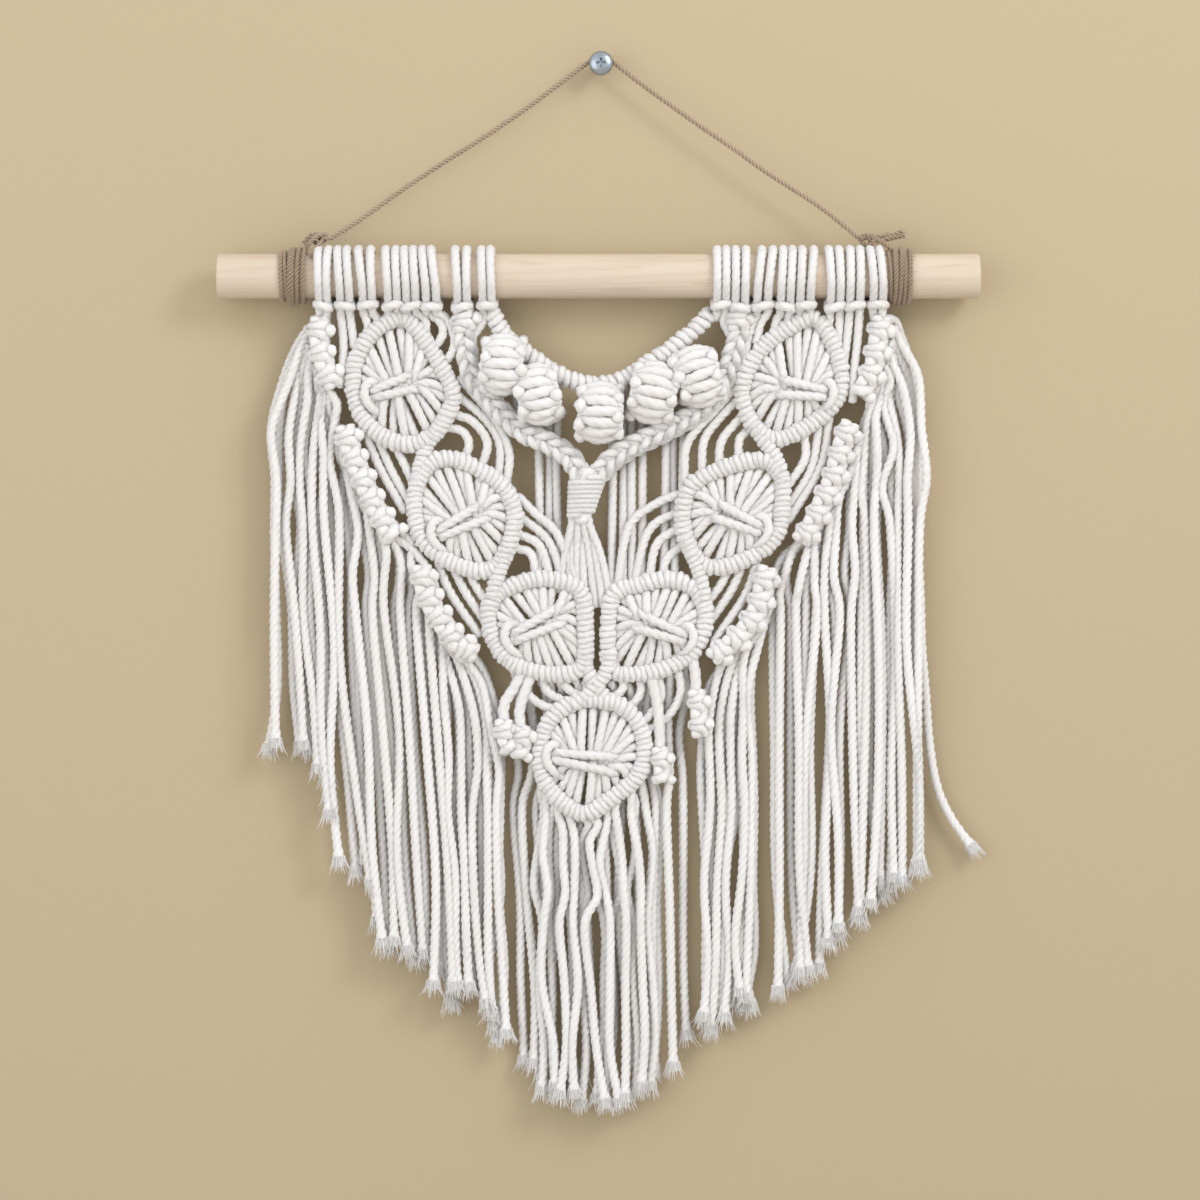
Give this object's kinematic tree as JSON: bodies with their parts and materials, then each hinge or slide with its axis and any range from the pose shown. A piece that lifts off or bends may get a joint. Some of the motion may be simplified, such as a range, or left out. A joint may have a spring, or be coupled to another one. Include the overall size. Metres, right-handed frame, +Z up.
{
  "type": "macrame wall hanging on a wooden dowel",
  "caption": "Knotted cotton wall hanging with hitched leaf shapes, berry knots, braids and a pointed fringe, on a wooden dowel hung by jute twine from a screw.",
  "frame": {"origin": "the point where the screw's shank meets the wall, at mount wall_point", "axes": "+Z up, +X to the right as seen from the front, +Y into the wall, so the front faces -Y"},
  "size_m": [0.3052, 0.0251, 0.4244],
  "materials": {
    "cotton": "natural off-white three-ply cotton cord, matt and slightly fuzzy",
    "jute": "brown jute twine, hairy and matt",
    "pine": "bare sanded pine with fine straight grain",
    "zinc": "bright zinc-plated steel"
  },
  "bodies": {
    "root": {"berry_1": "cotton", "berry_2": "cotton", "berry_3": "cotton", "berry_4": "cotton", "berry_5": "cotton", "braid_left": "cotton", "braid_right": "cotton", "curtain_left": "cotton", "curtain_right": "cotton", "dowel": "pine", "fringe_centre_back": "cotton", "fringe_centre_front": "cotton", "fringe_left_inner": "cotton", "fringe_left_middle": "cotton", "fringe_left_outer": "cotton", "fringe_right_inner": "cotton", "fringe_right_middle": "cotton", "fringe_right_outer": "cotton", "gathering_wrap": "cotton", "hanging_twine": "jute", "leaf_bottom": "cotton", "leaf_left_1": "cotton", "leaf_left_2": "cotton", "leaf_left_3": "cotton", "leaf_right_1": "cotton", "leaf_right_2": "cotton", "leaf_right_3": "cotton", "loops_left_inner": "cotton", "loops_left_outer": "cotton", "loops_right_inner": "cotton", "loops_right_outer": "cotton", "loose_strand": "cotton", "low_knot_left": "cotton", "low_knot_right": "cotton", "neck_band": "cotton", "sinnet_left_1": "cotton", "sinnet_left_2": "cotton", "sinnet_left_3": "cotton", "sinnet_right_1": "cotton", "sinnet_right_2": "cotton", "sinnet_right_3": "cotton", "top_knot_left": "cotton", "top_knot_right": "cotton", "twine_knot_left": "jute", "twine_knot_right": "jute", "twine_lashing_left": "jute", "twine_lashing_right": "jute", "wall_screw": "zinc", "web_left_inner_lower": "cotton", "web_left_inner_upper": "cotton", "web_left_outer_lower": "cotton", "web_left_outer_upper": "cotton", "web_right_inner_lower": "cotton", "web_right_inner_upper": "cotton", "web_right_outer_lower": "cotton", "web_right_outer_upper": "cotton", "web_top_left": "cotton", "web_top_right": "cotton", "yoke_fan": "cotton"}
  },
  "joints": []
}
